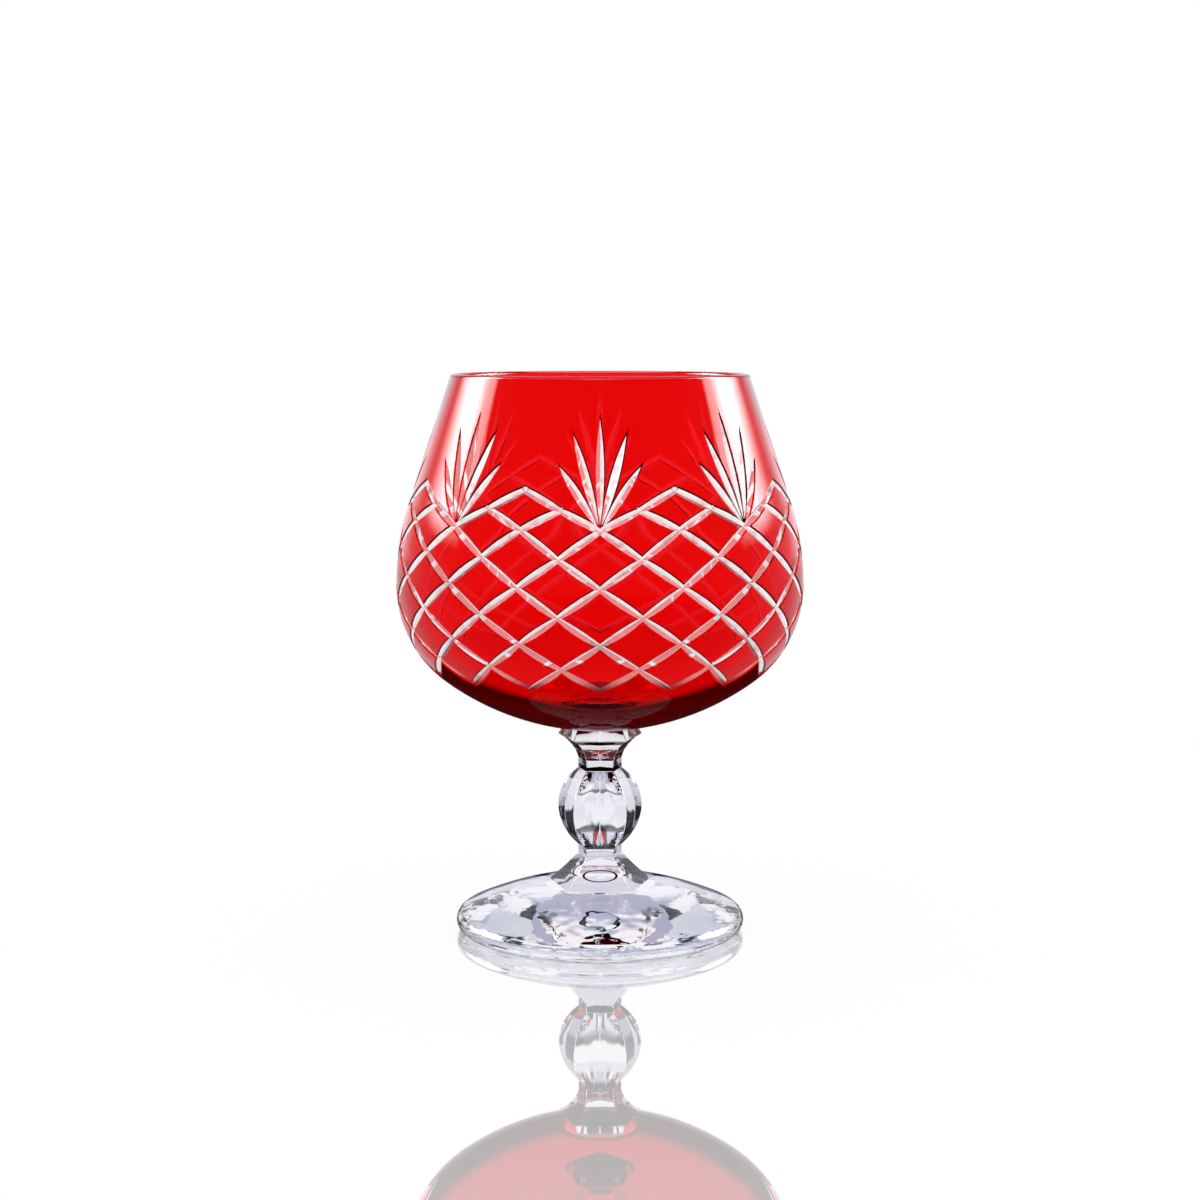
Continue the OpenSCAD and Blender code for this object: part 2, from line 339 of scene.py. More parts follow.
# %% [markdown]
# ## The fans
# A leaf of a fan is a single dip of the wheel: deep in the middle and running out to a point at
# both ends. So its cutter is the wheel itself, a flat disc whose middle edge loop is pushed out to
# a V. The radius follows from the leaf's length and depth.

# %% The leaves
leaf_depth = 1.15 * MM
wheel_spare = 1 * MM
wheel_facet = 1.2 * MM
leaf_foot = crossing(0, 2)
# Each tip in degrees round from the middle of the fan and in mm down the wall
leaf_tips = [(0, 6.7), (9.225, 10.5), (-9.225, 10.5), (13.5, 17.8), (-13.5, 17.8)]


def leaf_wheel(tip):
    middle, length, along, out, bulge = groove_axes(leaf_foot, tip)
    deep = leaf_depth - bulge
    wheel_r = ((length / 2) ** 2 + deep ** 2) / (2 * deep)
    half = leaf_depth + wheel_spare
    rest()
    facets = int(2 * math.pi * wheel_r / wheel_facet)
    bpy.ops.mesh.primitive_cylinder_add(vertices=facets, radius=wheel_r - half, depth=2 * half)
    wheel = bpy.context.active_object
    bpy.ops.object.mode_set(mode="EDIT")
    bpy.ops.mesh.select_all(action="SELECT")
    bpy.ops.mesh.bisect(plane_co=(0, 0, 0), plane_no=(0, 0, 1))
    edge = wheel_r / (wheel_r - half)
    bpy.ops.transform.resize(value=(edge, edge, 1), center_override=(0, 0, 0))
    bpy.ops.object.mode_set(mode="OBJECT")
    place_cutter(wheel, along, out, along.cross(out), middle + out * (wheel_r - deep))
    return wheel


for turn, distance in leaf_tips:
    wheel = leaf_wheel((math.radians(turn), distance * MM))
    cutters.append(copied_round([wheel], "leaf_cutter"))
    told(cutters[-1])

# %% [markdown]
# ## Cutting through the casing
# Every cutter is taken from the clear bowl and from the shell. One joined cutter would be quicker, but
# grooves that touch would make it a body that crosses itself, so the sets are taken one by one. The
# shell then falls apart into islands, and their heights say which row each belongs to.

# %% Cut both layers
def carve(piece, cutter):
    take(piece)
    cut = piece.modifiers.new("cut", "BOOLEAN")
    cut.operation = "DIFFERENCE"
    cut.solver = "MANIFOLD"
    cut.object = cutter
    bpy.ops.object.modifier_apply(modifier=cut.name)


for cutter in cutters:
    carve(clear_bowl, cutter)
    carve(shell, cutter)
rest()
for cutter in cutters:
    bpy.data.meshes.remove(cutter.data)
told(clear_bowl)
told(shell)

# %% Part the ruby shell into its islands
take(shell)
bpy.ops.object.mode_set(mode="EDIT")
bpy.ops.mesh.select_all(action="SELECT")
bpy.ops.mesh.separate(type="LOOSE")
bpy.ops.object.mode_set(mode="OBJECT")
islands = list(bpy.context.selected_objects)
print("ruby islands:", len(islands))

# %% Sort the islands into the band, seven rows of diamonds and the base
def middle_z(piece):
    heights = [v.co.z for v in piece.data.vertices]
    return (min(heights) + max(heights)) / 2


def joined(pieces, name):
    rest()
    for piece in pieces:
        piece.select_set(True)
    bpy.context.view_layer.objects.active = pieces[0]
    if len(pieces) > 1:
        bpy.ops.object.join()
    pieces[0].name = pieces[0].data.name = name
    return pieces[0]


rim_band = 2 * MM
seat_band = 1 * MM
row_z = {row: wall_point(row_s[row]).y for row in range(1, ROWS + 1)}
sorted_islands = {}
for island in islands:
    if max(v.co.z for v in island.data.vertices) > rim_top - rim_band:
        key = "ruby_band"
    elif min(v.co.z for v in island.data.vertices) < bowl_seat + seat_band:
        key = "ruby_base"
    else:
        row = min(row_z, key=lambda r: abs(row_z[r] - middle_z(island)))
        key = f"ruby_row_{row}"
    sorted_islands.setdefault(key, []).append(island)
ruby_pieces = {key: joined(group, "cut_" + key) for key, group in sorted(sorted_islands.items())}
print({key: len(piece.data.polygons) for key, piece in ruby_pieces.items()})

# %% [markdown]
# ## The stem
# Bowl collar, knop and foot collar are ground to five panels. They could be sliced from round bodies,
# but each is simpler as a turned body with only five steps. Then each step is one panel, and the
# section gives the panels their sweep: hollow on the collars and full on the knop.

# %% The collars and the knop
PANELS = 5
corner = 1 / math.cos(math.pi / PANELS)
knop_low, knop_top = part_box("knop")[0].z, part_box("knop")[1].z
foot_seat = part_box("foot")[1].z
neck_in_r = 4.25 * MM
neck_h = 2.4 * MM
waist_h = 1.8 * MM
lip_in_r = 8.2 * MM
lip_h = 2.8 * MM
lip_draw = 1.4 * MM
knop_in_r = 8.2 * MM
hub_in_r = 10 * MM
lip_bow = 0.7 * MM
hub_bow = 0.2 * MM
SWEEP_STEPS = 8
KNOP_STEPS = 48
edge_round = 0.12 * MM
EDGE_ANGLE = math.radians(25)


# An arc from start to end that bulges to the left of the way
def bowed(start, end, bulge, steps):
    half = (end - start).length / 2
    radius = (half ** 2 + bulge ** 2) / (2 * bulge)
    left = Vector((start.y - end.y, end.x - start.x)).normalized()
    centre = (start + end) / 2 + (bulge - radius) * left
    turn = math.asin(half / radius)
    ahead = math.atan2(left.y, left.x)
    return arc(centre, radius, ahead + turn, ahead - turn, steps)


def rounded(piece, width, angle):
    take(piece)
    bevel = piece.modifiers.new("rounded edges", "BEVEL")
    bevel.width = width
    bevel.segments = 2
    bevel.limit_method = "ANGLE"
    bevel.angle_limit = angle
    bpy.ops.object.modifier_apply(modifier=bevel.name)
    bpy.ops.object.shade_smooth_by_angle(angle=SMOOTH_ANGLE)
    return piece


def panelled(name, section):
    corners = [Vector((point.x * corner, point.y)) for point in section]
    closed = [Vector((0, section[0].y))] + corners + [Vector((0, section[-1].y))]
    piece = turned(name, closed, PANELS)
    piece.rotation_euler.z = -math.pi / 2 + math.pi / PANELS
    bpy.ops.object.transform_apply(rotation=True)
    return rounded(piece, edge_round, EDGE_ANGLE)


neck_up = Vector((neck_in_r, knop_top + neck_h))
waist = Vector((neck_in_r, knop_low - waist_h))
collar_lip = Vector((lip_in_r, bowl_seat - lip_h))
hub = Vector((hub_in_r, foot_seat))
bowl_collar = panelled("cut_bowl_collar", [
    Vector((neck_in_r, knop_top)), *bowed(neck_up, collar_lip, lip_bow, SWEEP_STEPS),
    Vector((lip_in_r - lip_draw, bowl_seat))])
foot_collar = panelled("cut_foot_collar", [
    *bowed(hub, waist, hub_bow, SWEEP_STEPS), Vector((neck_in_r, knop_low))])
knop = panelled("cut_knop", bowed(
    Vector((neck_in_r, knop_top)), Vector((neck_in_r, knop_low)),
    knop_in_r - neck_in_r, KNOP_STEPS)[::-1])
for piece in (bowl_collar, knop, foot_collar):
    told(piece)

# %% [markdown]
# ## The foot
# The foot is a thick disc with a half-round edge that rises in a soft dome to the stem. It is
# turned like the bowl, from a section with a slightly bulging top.

# %% Turn the foot
foot_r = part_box("foot")[1].x
foot_edge = 2.3 * MM
foot_bulge = 0.6 * MM
hub_clear = 0.4 * MM
EDGE_STEPS, DOME_STEPS = 16, 20
hub_corner = hub_in_r * corner + hub_clear
edge_c = Vector((foot_r - foot_edge, foot_edge))
foot_section = [Vector((0, 0))]
top_tilt = math.atan2(foot_seat - 2 * foot_edge, edge_c.x - hub_corner)
foot_section += arc(edge_c, foot_edge, -math.pi / 2, math.pi / 2 - top_tilt, EDGE_STEPS)
dome = bowed(Vector((hub_corner, foot_seat)), foot_section[-1], foot_bulge, DOME_STEPS)
foot_section += dome[::-1][1:]
foot_section += [Vector((0, foot_seat))]
foot = turned("turned_foot", foot_section, ROUND_STEPS)
bpy.ops.object.shade_smooth_by_angle(angle=SMOOTH_ANGLE)
told(foot)

# %% [markdown]
# ## The finishes
# Glass is nearly all refraction, so each finish is a Principled shader with full transmission. One
# material with painted masks could hold them all, but an index of refraction shouldn't be painted,
# so each kind of face has a finish of its own. The casing is fused to the crystal with nothing in
# between. Two touching faces would still bend the light, so the fused faces get an index of 1.

# %% Colours, and the one helper that adds a node
def linear(hex_colour):
    parts = [int(hex_colour[i:i + 2], 16) / 255 for i in (0, 2, 4)]
    return [p / 12.92 if p <= 0.04045 else ((p + 0.055) / 1.055) ** 2.4 for p in parts] + [1]


def add(tree, kind, inputs=None, **settings):
    made = tree.nodes.new(kind)
    for name, value in settings.items():
        setattr(made, name, value)
    for socket, value in (inputs or {}).items():
        if isinstance(value, bpy.types.NodeSocket):
            tree.links.new(value, made.inputs[socket])
        else:
            made.inputs[socket].default_value = value
    return made


def finish_named(name):
    made = bpy.data.materials.new(name)
    made.use_nodes = True
    made.node_tree.nodes.clear()
    print("finish:", name)
    return made, made.node_tree


# Mix has sockets for each kind of data: with colours, 0 is the factor, 6 and 7 are the two colours,
# and output 2 is the result.
MIXED = 2
print("mid grey 808080 in linear light:", round(linear("808080")[0], 3))

# %% [markdown]
# ## Clear lead crystal
# Lead crystal is colourless and bends light strongly. Blowing, polishing by hand and pressing leave a
# faint swell in the surface, more from one to the next, so what is seen through the foot breaks into
# scraps. Where a surface is seen at a slant its colour is painted dark, a painted shade for the dark
# outline that a glass edge shows; on the ruby lip it is partly the long way through ruby. The swell
# could be modelled, but it is about a tenth of a millimetre high at most, so it is a bump.

# %% Crystal of the bowl, the stem, the foot and the lip
crystal_index = 1.54
blown_swell = 7 * MM
blown_depth = 0.01 * MM
polished_swell = 5 * MM
polished_depth = 0.06 * MM
pressed_swell = 5 * MM
pressed_depth = 0.14 * MM


def crystal_finish(name, swell_size, swell_depth, colour, painted_edge_shade_colour):
    made, tree = finish_named(name)
    place = add(tree, "ShaderNodeTexCoord").outputs["Object"]
    swell = add(tree, "ShaderNodeTexNoise", {"Vector": place, "Scale": 1 / swell_size, "Detail": 1})
    bump = add(tree, "ShaderNodeBump", {"Height": swell.outputs["Fac"], "Distance": swell_depth})
    # Painted shade: the colour darkens towards the second colour where the surface is seen at a slant.
    slant = add(tree, "ShaderNodeLayerWeight", {"Blend": 0.5}).outputs["Facing"]
    edge = add(tree, "ShaderNodeMapRange", {"Value": slant, "From Min": 0.70, "From Max": 0.95},
               interpolation_type="SMOOTHSTEP").outputs["Result"]
    tint = add(tree, "ShaderNodeMix", {0: edge, 6: linear(colour), 7: linear(painted_edge_shade_colour)},
               data_type="RGBA").outputs[MIXED]
    shader = add(tree, "ShaderNodeBsdfPrincipled", {
        "Base Color": tint, "IOR": crystal_index, "Roughness": 0, "Transmission Weight": 1,
        "Normal": bump.outputs["Normal"]})
    add(tree, "ShaderNodeOutputMaterial", {"Surface": shader.outputs["BSDF"]})
    return made


# The second colour is the painted shade at a slant: none on the bowl, near black on the stem, grey on the
# foot, and on the ruby lip partly the long way through ruby.
blown_crystal = crystal_finish("blown_lead_crystal", blown_swell, blown_depth, "FCFCFF", "FCFCFF")
cut_crystal = crystal_finish("polished_lead_crystal", polished_swell, polished_depth, "FAFAFE", "1C1E2A")
foot_crystal = crystal_finish("pressed_lead_crystal", pressed_swell, pressed_depth, "FAFAFE", "8A8EA4")
ruby_lip = crystal_finish("fire_polished_ruby_lip", blown_swell, blown_depth, "F0303A", "C01820")

# %% [markdown]
# ## Wheel-cut crystal
# A cut has two flanks. The one that faces down is given the satin of the fine wheel and looks white,
# and the one that faces up is polished and clear, so the red of the bowl comes through it. The finish
# goes by the way a flank faces, so the white flank is painted light and the clear one, darkened
# further down, painted shade. The pink streaks on the white are a painted reflection of the ruby
# beside it. From inside the glass a satin flank would hide what is behind it, so its back is clear.

# %% The satin flank
grit = 0.25 * MM
grit_depth = 0.02 * MM
streak = 2.5 * MM
lit_satin_flank, tree = finish_named("painted_light_satin_cut_crystal")
place = add(tree, "ShaderNodeTexCoord").outputs["Object"]
marks = add(tree, "ShaderNodeTexNoise", {"Vector": place, "Scale": 1 / grit, "Detail": 2}).outputs["Fac"]
bump = add(tree, "ShaderNodeBump", {"Height": marks, "Strength": 0.3, "Distance": grit_depth})
streaks = add(tree, "ShaderNodeTexNoise", {"Vector": place, "Scale": 1 / streak, "Detail": 2})
# Painted reflection: pink streaks stand in for the ruby beside the flank.
painted_ruby_reflection = add(tree, "ShaderNodeMapRange", {"Value": streaks.outputs["Fac"], "From Min": 0.5, "From Max": 0.8})
shade = add(tree, "ShaderNodeMix", {0: painted_ruby_reflection.outputs["Result"], 6: linear("FFFFFF"), 7: linear("F2B8BE")},
            data_type="RGBA").outputs[MIXED]
front = add(tree, "ShaderNodeBsdfPrincipled", {
    "Base Color": shade, "IOR": crystal_index, "Roughness": 0.3, "Transmission Weight": 0.03,
    "Normal": bump.outputs["Normal"]})
behind = add(tree, "ShaderNodeBsdfPrincipled", {
    "Base Color": linear("FFFFFF"), "IOR": 1.0, "Roughness": 0, "Transmission Weight": 1})
back = add(tree, "ShaderNodeNewGeometry").outputs["Backfacing"]
both = add(tree, "ShaderNodeMixShader", {0: back, 1: front.outputs["BSDF"], 2: behind.outputs["BSDF"]})
add(tree, "ShaderNodeOutputMaterial", {"Surface": both.outputs["Shader"]})

# %% The polished flank
# Turned away from the eye, or low down against the thick base, its colour is painted dark: painted
# shade.
lit_z = 64 * MM
dark_z = 61 * MM
cut_index = 1.15
shaded_polished_flank, tree = finish_named("painted_shade_polished_cut_crystal")
place = add(tree, "ShaderNodeTexCoord").outputs["Object"]
marks = add(tree, "ShaderNodeTexNoise", {"Vector": place, "Scale": 1 / grit, "Detail": 2}).outputs["Fac"]
bump = add(tree, "ShaderNodeBump", {"Height": marks, "Strength": 0.2, "Distance": grit_depth})
slant = add(tree, "ShaderNodeLayerWeight", {"Blend": 0.5}).outputs["Facing"]
painted_slant_shade = add(tree, "ShaderNodeMapRange", {"Value": slant, "From Min": 0.55, "From Max": 0.8},
           interpolation_type="SMOOTHSTEP").outputs["Result"]
height = add(tree, "ShaderNodeSeparateXYZ", {"Vector": place}).outputs["Z"]
low = add(tree, "ShaderNodeMapRange", {
    "Value": height, "From Min": lit_z, "From Max": dark_z, "To Max": 0.9},
    interpolation_type="SMOOTHSTEP").outputs["Result"]
# Painted shade: the flank darkens at a slant and below lit_z towards the base.
deep = add(tree, "ShaderNodeMath", {0: painted_slant_shade, 1: low}, operation="MAXIMUM").outputs["Value"]
tint = add(tree, "ShaderNodeMix", {0: deep, 6: linear("FFFFFF"), 7: linear("1A0205")},
           data_type="RGBA").outputs[MIXED]
shader = add(tree, "ShaderNodeBsdfPrincipled", {
    "Base Color": tint, "IOR": cut_index, "Roughness": 0.1, "Transmission Weight": 0.75,
    "Normal": bump.outputs["Normal"]})
add(tree, "ShaderNodeOutputMaterial", {"Surface": shader.outputs["BSDF"]})

# %% [markdown]
# ## Ruby glass
# The casing is a coat of copper ruby 0.3 mm thick. Light crosses two coats, one on each side of the
# bowl, and comes out deep red. The colour swims a little with the thickness, and at a slant the
# polished skin turns pale, which the sheen gives. Under the bowl the coat pools and is thick, and
# there the colour is painted nearly black where it is seen at a slant: partly the long way through
# the ruby, mostly painted shade.

# %% The casing
pool_size = 14 * MM
ruby_index = 1.52
ruby, tree = finish_named("ruby_casing_glass")
place = add(tree, "ShaderNodeTexCoord").outputs["Object"]
swell = add(tree, "ShaderNodeTexNoise", {"Vector": place, "Scale": 1 / blown_swell, "Detail": 1})
bump = add(tree, "ShaderNodeBump", {"Height": swell.outputs["Fac"], "Distance": blown_depth})
pools = add(tree, "ShaderNodeTexNoise", {"Vector": place, "Scale": 1 / pool_size, "Detail": 0})
tint = add(tree, "ShaderNodeMix", {0: pools.outputs["Fac"], 6: linear("FC1A24"), 7: linear("F6121C")},
           data_type="RGBA").outputs[MIXED]
shader = add(tree, "ShaderNodeBsdfPrincipled", {
    "Base Color": tint, "IOR": ruby_index, "Roughness": 0, "Transmission Weight": 1,
    "Normal": bump.outputs["Normal"], "Sheen Weight": 1.0, "Sheen Roughness": 0.3,
    "Sheen Tint": linear("FFE4EA")})
add(tree, "ShaderNodeOutputMaterial", {"Surface": shader.outputs["BSDF"]})

# %% The thick ruby under the bowl
# Its index is low, because a strong mirror would fill the dark with the white of the foot.
base_index = 1.05
base_ruby, tree = finish_named("thick_ruby_base_glass")
place = add(tree, "ShaderNodeTexCoord").outputs["Object"]
swell = add(tree, "ShaderNodeTexNoise", {"Vector": place, "Scale": 1 / blown_swell, "Detail": 1})
bump = add(tree, "ShaderNodeBump", {"Height": swell.outputs["Fac"], "Distance": blown_depth})
slant = add(tree, "ShaderNodeLayerWeight", {"Blend": 0.5}).outputs["Facing"]
# Painted shade: seen from outside at a slant, the thick ruby turns nearly black.
deep = add(tree, "ShaderNodeMapRange", {"Value": slant, "From Min": 0.50, "From Max": 0.62},
           interpolation_type="SMOOTHSTEP").outputs["Result"]
back = add(tree, "ShaderNodeNewGeometry").outputs["Backfacing"]
front = add(tree, "ShaderNodeMath", {0: 1.0, 1: back}, operation="SUBTRACT").outputs["Value"]
deep = add(tree, "ShaderNodeMath", {0: deep, 1: front}, operation="MULTIPLY").outputs["Value"]
tint = add(tree, "ShaderNodeMix", {0: deep, 6: linear("F01018"), 7: linear("160002")},
           data_type="RGBA").outputs[MIXED]
shader = add(tree, "ShaderNodeBsdfPrincipled", {
    "Base Color": tint, "IOR": base_index, "Roughness": 0, "Transmission Weight": 1,
    "Normal": bump.outputs["Normal"]})
add(tree, "ShaderNodeOutputMaterial", {"Surface": shader.outputs["BSDF"]})

# %% The cut edges of the casing
# The finish goes by the way an edge faces. One that faces down is painted nearly black, a fine
# outline that is partly the long way through ruby and partly painted shade. One that faces up is
# painted bright pink, a painted light as if lit from behind. From inside the glass both let the
# light of the next pane through.
ruby_edges = []
for name, colour, index in (("painted_shade_ruby_edge", "0C0001", 1.15), ("painted_light_ruby_edge", "F4545C", 1.1)):
    made, tree = finish_named(name)
    front = add(tree, "ShaderNodeBsdfPrincipled", {
        "Base Color": linear(colour), "IOR": index, "Roughness": 0.15, "Transmission Weight": 1})
    behind = add(tree, "ShaderNodeBsdfPrincipled", {
        "Base Color": linear("FC1820"), "IOR": 1.0, "Roughness": 0, "Transmission Weight": 1})
    back = add(tree, "ShaderNodeNewGeometry").outputs["Backfacing"]
    both = add(tree, "ShaderNodeMixShader", {0: back, 1: front.outputs["BSDF"], 2: behind.outputs["BSDF"]})
    add(tree, "ShaderNodeOutputMaterial", {"Surface": both.outputs["Shader"]})
    ruby_edges.append(made)

# %% Fused faces, which let light straight through
# The seat face is painted nearly black, a painted shade for the thick ruby under the bowl that
# the stem looks up into.
fused = {}
for name, colour in (("fused_crystal_face", "FFFFFF"), ("fused_ruby_face", "FC1820"),
                     ("fused_ruby_base_face", "F01018"), ("painted_shade_seat_face", "140206")):
    fused[name], tree = finish_named(name)
    shader = add(tree, "ShaderNodeBsdfPrincipled", {
        "Base Color": linear(colour), "IOR": 1.0, "Roughness": 0, "Transmission Weight": 1})
    add(tree, "ShaderNodeOutputMaterial", {"Surface": shader.outputs["BSDF"]})

# %% [markdown]
# ## Laying the finishes on
# A Boolean leaves hundreds of new faces, and picking them by hand would take all day. Each face
# knows which way it points, though. Measured against the bowl's own curve, that says whether it is
# the old outside, the old inside or the flank of a cut, and which way the flank looks.

# %% How a face lies against the wall
# Up is leant a little to one side, so that an upright cut has an upper and a lower flank too.
UPRIGHT_LEAN = 0.35


def wall_depth(co):
    here = Vector((math.hypot(co.x, co.y), co.z))
    if here.y >= belly_z:
        if math.atan2(here.y - upper_c.y, here.x - upper_c.x) > cone_tilt:
            out = polar(cone_tilt)
            return lip_r - (here - lip_c).dot(out), out
        return upper_r - (here - upper_c).length, (here - upper_c).normalized()
    if math.atan2(belly_z - here.y, here.x - side_c.x) < side_turn:
        return side_r - (here - side_c).length, (here - side_c).normalized()
    return base_r - (here - base_c).length, (here - base_c).normalized()


def facing_out(face):
    depth, out = wall_depth(face.center)
    turn = math.atan2(face.center.y, face.center.x)
    outward = Vector((out.x * math.cos(turn), out.x * math.sin(turn), out.y))
    upward = Vector((-out.y * math.cos(turn), -out.y * math.sin(turn), out.x))
    around = Vector((-math.sin(turn), math.cos(turn), 0))
    return depth, face.normal.dot(outward), face.normal.dot(upward + around * UPRIGHT_LEAN)


print("depth of the outer curve at the belly:", wall_depth(Vector((belly_r, 0, belly_z)))[0])

# %% Choose and lay
ALONG = 0.95
LEVEL = 0.999
FLANK_UP = 0.1
touch = 0.01 * MM
cut_reach = max(lattice_depth, leaf_depth) + casing


def lay(piece, finishes, choose):
    piece.data.materials.clear()
    for finish in finishes:
        piece.data.materials.append(finish)
    for face in piece.data.polygons:
        face.material_index = choose(face)
    take(piece)
    bpy.ops.object.shade_smooth_by_angle(angle=SMOOTH_ANGLE)
    counts = [sum(face.material_index == i for face in piece.data.polygons) for i in range(len(finishes))]
    print(piece.name, {finish.name: count for finish, count in zip(finishes, counts) if count})


# Each of these gives a face its place in the list of finishes that lay is handed.
# An edge of the casing that faces down gets the painted shade and one that faces up the painted light.
def ruby_side(face):
    _, out, up = facing_out(face)
    if abs(out) > ALONG:
        return 0 if out > 0 else 3
    return 1 if up < FLANK_UP else 2


# A crystal flank that faces down gets the white satin and one that faces up the darkened clear finish:
# painted light and shade.
def bowl_side(face):
    depth, out, up = facing_out(face)
    if face.center.z > lip_c.y:
        return 5 if out > 0 else 0
    if depth > cut_reach or out < 0:
        return 4 if face.normal.z < -LEVEL and face.center.z < bowl_seat + touch else 0
    if out > ALONG:
        return 3
    return 1 if up < FLANK_UP else 2


def stem_side(low, high):
    def side(face):
        if abs(face.normal.z) < LEVEL:
            return 0
        return 1 if face.center.z < low + touch else 2 if face.center.z > high - touch else 0
    return side


for key, piece in ruby_pieces.items():
    if key == "ruby_base":
        lay(piece, [base_ruby, *ruby_edges, fused["fused_ruby_base_face"]], ruby_side)
    else:
        lay(piece, [ruby, *ruby_edges, fused["fused_ruby_face"]], ruby_side)
fused_crystal, painted_shade_seat = fused["fused_crystal_face"], fused["painted_shade_seat_face"]
lay(clear_bowl, [blown_crystal, lit_satin_flank, shaded_polished_flank, fused_crystal, painted_shade_seat, ruby_lip], bowl_side)
lay(bowl_collar, [cut_crystal, fused_crystal, painted_shade_seat], stem_side(knop_top, bowl_seat))
lay(knop, [cut_crystal, fused_crystal, fused_crystal], stem_side(knop_low, knop_top))
lay(foot_collar, [cut_crystal, fused_crystal, fused_crystal], stem_side(foot_seat, knop_low))
lay(foot, [foot_crystal, fused_crystal, fused_crystal], stem_side(-MM, foot_seat))

# %% [markdown]
# ## Tying the pieces to the frame
# Each piece stands for one node of the CAD part and hides it. A glass has no moving parts, so all of
# them ride on the one body.

# %% Tie every piece to the frame
stands_for = {"clear_bowl": clear_bowl, "bowl_collar": bowl_collar, "knop": knop,
              "foot_collar": foot_collar, "foot": foot, **ruby_pieces}
for node, piece in stands_for.items():
    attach(piece, "root")
    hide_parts(node)
print("pieces tied:", len(stands_for))

# %% [markdown]
# ## The table
# The glass stands on a glossy white table that mirrors it. A mirror plane alone would be too strong,
# so the sheet is plain white seen from above and a mirror at a slant. Glass needs something dark to
# show its form, so photographers set dark cards round it. Here they are drawn on the table, one for
# each panel of the stem, where only light that has come through clear crystal sees them.

# %% The table top
table_size = 4.0
table_gap = 0.2 * MM
rest()
bpy.ops.mesh.primitive_plane_add(size=table_size, location=(0, 0, -table_gap))
table = bpy.context.active_object
table.name = "glossy_white_table"
print("table top in m:", table_size)

# %% Glossy white acrylic
# White right through under a clear gloss, so it mirrors more the flatter it is seen. Light through the
# bowl crosses more than four faces and sees no cards, and light that bounces sees them paler.
shadow_share = 0.2
STEM_ONLY = 4.5
BOUNCE_PALE = 0.75
acrylic, tree = finish_named("glossy_white_acrylic")
path = add(tree, "ShaderNodeLightPath").outputs
lit = add(tree, "ShaderNodeBsdfDiffuse", {"Color": linear("FFFFFF")})
white = add(tree, "ShaderNodeEmission", {"Color": linear("FFFFFF")})
plain = add(tree, "ShaderNodeMixShader", {
    0: shadow_share, 1: white.outputs["Emission"], 2: lit.outputs["BSDF"]})
mirror = add(tree, "ShaderNodeBsdfGlossy", {"Color": linear("FFFFFF"), "Roughness": 0.02})
slant = add(tree, "ShaderNodeLayerWeight", {"Blend": 0.5}).outputs["Facing"]
share = add(tree, "ShaderNodeMapRange", {
    "Value": slant, "From Min": 0.2, "From Max": 0.8, "To Min": 0.05, "To Max": 0.72}).outputs["Result"]
seen = add(tree, "ShaderNodeMixShader", {0: share, 1: plain.outputs["Shader"], 2: mirror.outputs["BSDF"]})
table.data.materials.append(acrylic)

# %% What the crystal sees of the table
# A sine with one wave for each panel runs round the axis, and its troughs are the dark cards.
place = add(tree, "ShaderNodeTexCoord").outputs["Object"]
spot = add(tree, "ShaderNodeSeparateXYZ", {"Vector": place}).outputs
turn = add(tree, "ShaderNodeMath", {0: spot["Y"], 1: spot["X"]}, operation="ARCTAN2").outputs["Value"]
turn = add(tree, "ShaderNodeMath", {0: turn, 1: PANELS}, operation="MULTIPLY").outputs["Value"]
wave = add(tree, "ShaderNodeMath", {0: turn}, operation="SINE").outputs["Value"]
card = add(tree, "ShaderNodeMapRange", {"Value": wave, "From Min": -0.93, "From Max": -0.96},
           interpolation_type="SMOOTHSTEP").outputs["Result"]
few = add(tree, "ShaderNodeMath", {0: path["Transmission Depth"], 1: STEM_ONLY},
          operation="LESS_THAN").outputs["Value"]
card = add(tree, "ShaderNodeMath", {0: card, 1: few}, operation="MULTIPLY").outputs["Value"]
under = add(tree, "ShaderNodeMix", {0: card, 6: linear("F8F8FC"), 7: linear("1E2030")},
            data_type="RGBA").outputs[MIXED]
bounced = add(tree, "ShaderNodeMath", {0: path["Glossy Depth"], 1: BOUNCE_PALE},
              operation="MULTIPLY").outputs["Value"]
under = add(tree, "ShaderNodeMix", {0: bounced, 6: under, 7: linear("DCDEE8")},
            data_type="RGBA").outputs[MIXED]
pale = add(tree, "ShaderNodeEmission", {"Color": under})
through = add(tree, "ShaderNodeMixShader", {
    0: path["Is Transmission Ray"], 1: seen.outputs["Shader"], 2: pale.outputs["Emission"]})
# A polished surface mirrors the table dark, because its white would turn the ruby milky.
sharp = add(tree, "ShaderNodeMath", {0: path["Is Reflection Ray"], 1: path["Is Singular Ray"]},
            operation="MULTIPLY").outputs["Value"]
black = add(tree, "ShaderNodeEmission", {"Color": linear("202024")})
shown = add(tree, "ShaderNodeMixShader", {
    0: sharp, 1: through.outputs["Shader"], 2: black.outputs["Emission"]})
add(tree, "ShaderNodeOutputMaterial", {"Surface": shown.outputs["Shader"]})
print("dark cards on the table:", PANELS)

# %% [markdown]
# ## The studio
# A white studio all round lights the glass softly. The eye, and light that has come through the
# glass, see it white, with a lavender tone high up and dark flags low down that draw the stem. A
# polished surface would mirror that white and turn the ruby milky, so for sharp reflections the
# studio is dark, apart from two tall softboxes and the pale backdrop behind the glass.

